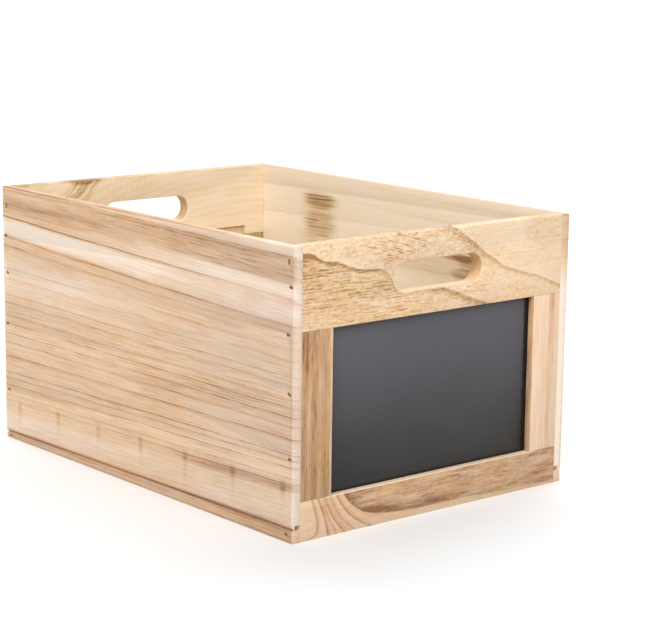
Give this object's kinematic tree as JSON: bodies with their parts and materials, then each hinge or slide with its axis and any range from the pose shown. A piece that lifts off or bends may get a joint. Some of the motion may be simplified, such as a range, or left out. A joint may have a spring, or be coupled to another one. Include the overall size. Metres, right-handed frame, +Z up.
{
  "type": "wooden storage box",
  "caption": "Open wooden storage box with a recessed chalkboard panel and a slotted hand hole in each end.",
  "frame": {"origin": "on the floor, at the centre of the box's footprint", "axes": "+Z up; the box is long along Y, and the pictured chalkboard end faces -Y"},
  "size_m": [0.25, 0.35, 0.195],
  "materials": {
    "side_wood": "planed pale softwood, unvarnished, pinkish tan with fine long grain and a few dark growth rings",
    "strip_wood": "planed pale softwood, unvarnished",
    "top_rail_wood": "planed pale softwood, unvarnished, yellowish tan with wandering growth rings",
    "bottom_rail_wood": "planed pale softwood, unvarnished, arched grain",
    "stile_wood": "planed pale softwood, unvarnished, upright grain",
    "bottom_plywood": "thin plywood with a pale face veneer",
    "chalkboard": "thin fibreboard with matt charcoal chalkboard paint on its outer face",
    "dowel_wood": "turned hardwood",
    "brad_steel": "steel brad with its head sunk and dulled"
  },
  "bodies": {
    "root": {"side_panel_left": "side_wood", "side_panel_right": "side_wood", "bottom_strip_left": "strip_wood", "bottom_strip_right": "strip_wood", "bottom_panel": "bottom_plywood", "front_top_rail": "top_rail_wood", "front_bottom_rail": "bottom_rail_wood", "front_stile_left": "stile_wood", "front_stile_right": "stile_wood", "front_chalkboard": "chalkboard", "back_top_rail": "top_rail_wood", "back_bottom_rail": "bottom_rail_wood", "back_stile_left": "stile_wood", "back_stile_right": "stile_wood", "back_chalkboard": "chalkboard", "dowel_front_left_top": "dowel_wood", "dowel_front_left_bottom": "dowel_wood", "dowel_front_right_top": "dowel_wood", "dowel_front_right_bottom": "dowel_wood", "dowel_back_left_top": "dowel_wood", "dowel_back_left_bottom": "dowel_wood", "dowel_back_right_top": "dowel_wood", "dowel_back_right_bottom": "dowel_wood", "brad_front_left_1": "brad_steel", "brad_front_left_2": "brad_steel", "brad_front_left_3": "brad_steel", "brad_front_left_4": "brad_steel", "brad_front_left_5": "brad_steel", "brad_front_left_6": "brad_steel", "brad_front_right_1": "brad_steel", "brad_front_right_2": "brad_steel", "brad_front_right_3": "brad_steel", "brad_front_right_4": "brad_steel", "brad_front_right_5": "brad_steel", "brad_front_right_6": "brad_steel", "brad_back_left_1": "brad_steel", "brad_back_left_2": "brad_steel", "brad_back_left_3": "brad_steel", "brad_back_left_4": "brad_steel", "brad_back_left_5": "brad_steel", "brad_back_left_6": "brad_steel", "brad_back_right_1": "brad_steel", "brad_back_right_2": "brad_steel", "brad_back_right_3": "brad_steel", "brad_back_right_4": "brad_steel", "brad_back_right_5": "brad_steel", "brad_back_right_6": "brad_steel"}
  },
  "joints": []
}
